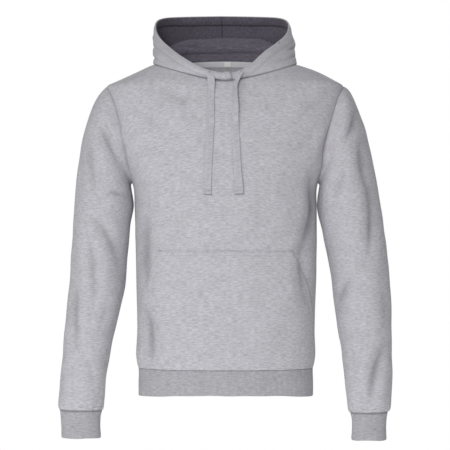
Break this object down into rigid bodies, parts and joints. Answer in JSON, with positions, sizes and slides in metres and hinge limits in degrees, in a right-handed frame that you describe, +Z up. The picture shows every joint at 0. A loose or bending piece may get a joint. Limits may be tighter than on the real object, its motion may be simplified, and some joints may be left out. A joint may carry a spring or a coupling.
{
  "type": "pullover hoodie",
  "caption": "Hollow pullover hoodie in its worn shape: set-in sleeves, lined hood standing open round the neck, flat drawcord, kangaroo pocket, and rib cuffs and hem",
  "frame": {"origin": "where the garment rests on its wearer: midway between the shoulders, level with the neck seam where it crosses them", "axes": "+Z up, +X towards the wearer's left, +Y towards the back; the front faces -Y"},
  "size_m": [0.681, 0.3191, 0.8797],
  "materials": {
    "grey_fleece": "light grey marl sweatshirt fleece, matt, with soft darker flecks along the knit",
    "grey_rib": "grey marl rib knit, a little darker than the body",
    "charcoal_lining": "charcoal marl jersey, matt",
    "drawcord": "flat grey marl jersey cord, matt",
    "neck_tape": "plain light grey woven tape",
    "white_label": "blank white satin ribbon"
  },
  "bodies": {
    "root": {"body_front": "grey_fleece", "body_back": "grey_fleece", "sleeve_left": "grey_fleece", "sleeve_right": "grey_fleece", "cuff_left": "grey_rib", "cuff_right": "grey_rib", "hem_band": "grey_rib", "hood_shell_left": "grey_fleece", "hood_shell_right": "grey_fleece", "hood_lining_left": "charcoal_lining", "hood_lining_right": "charcoal_lining", "kangaroo_pocket": "grey_fleece", "neck_tape": "neck_tape", "size_label": "white_label", "drawcord_left": "drawcord", "drawcord_right": "drawcord"}
  },
  "joints": []
}
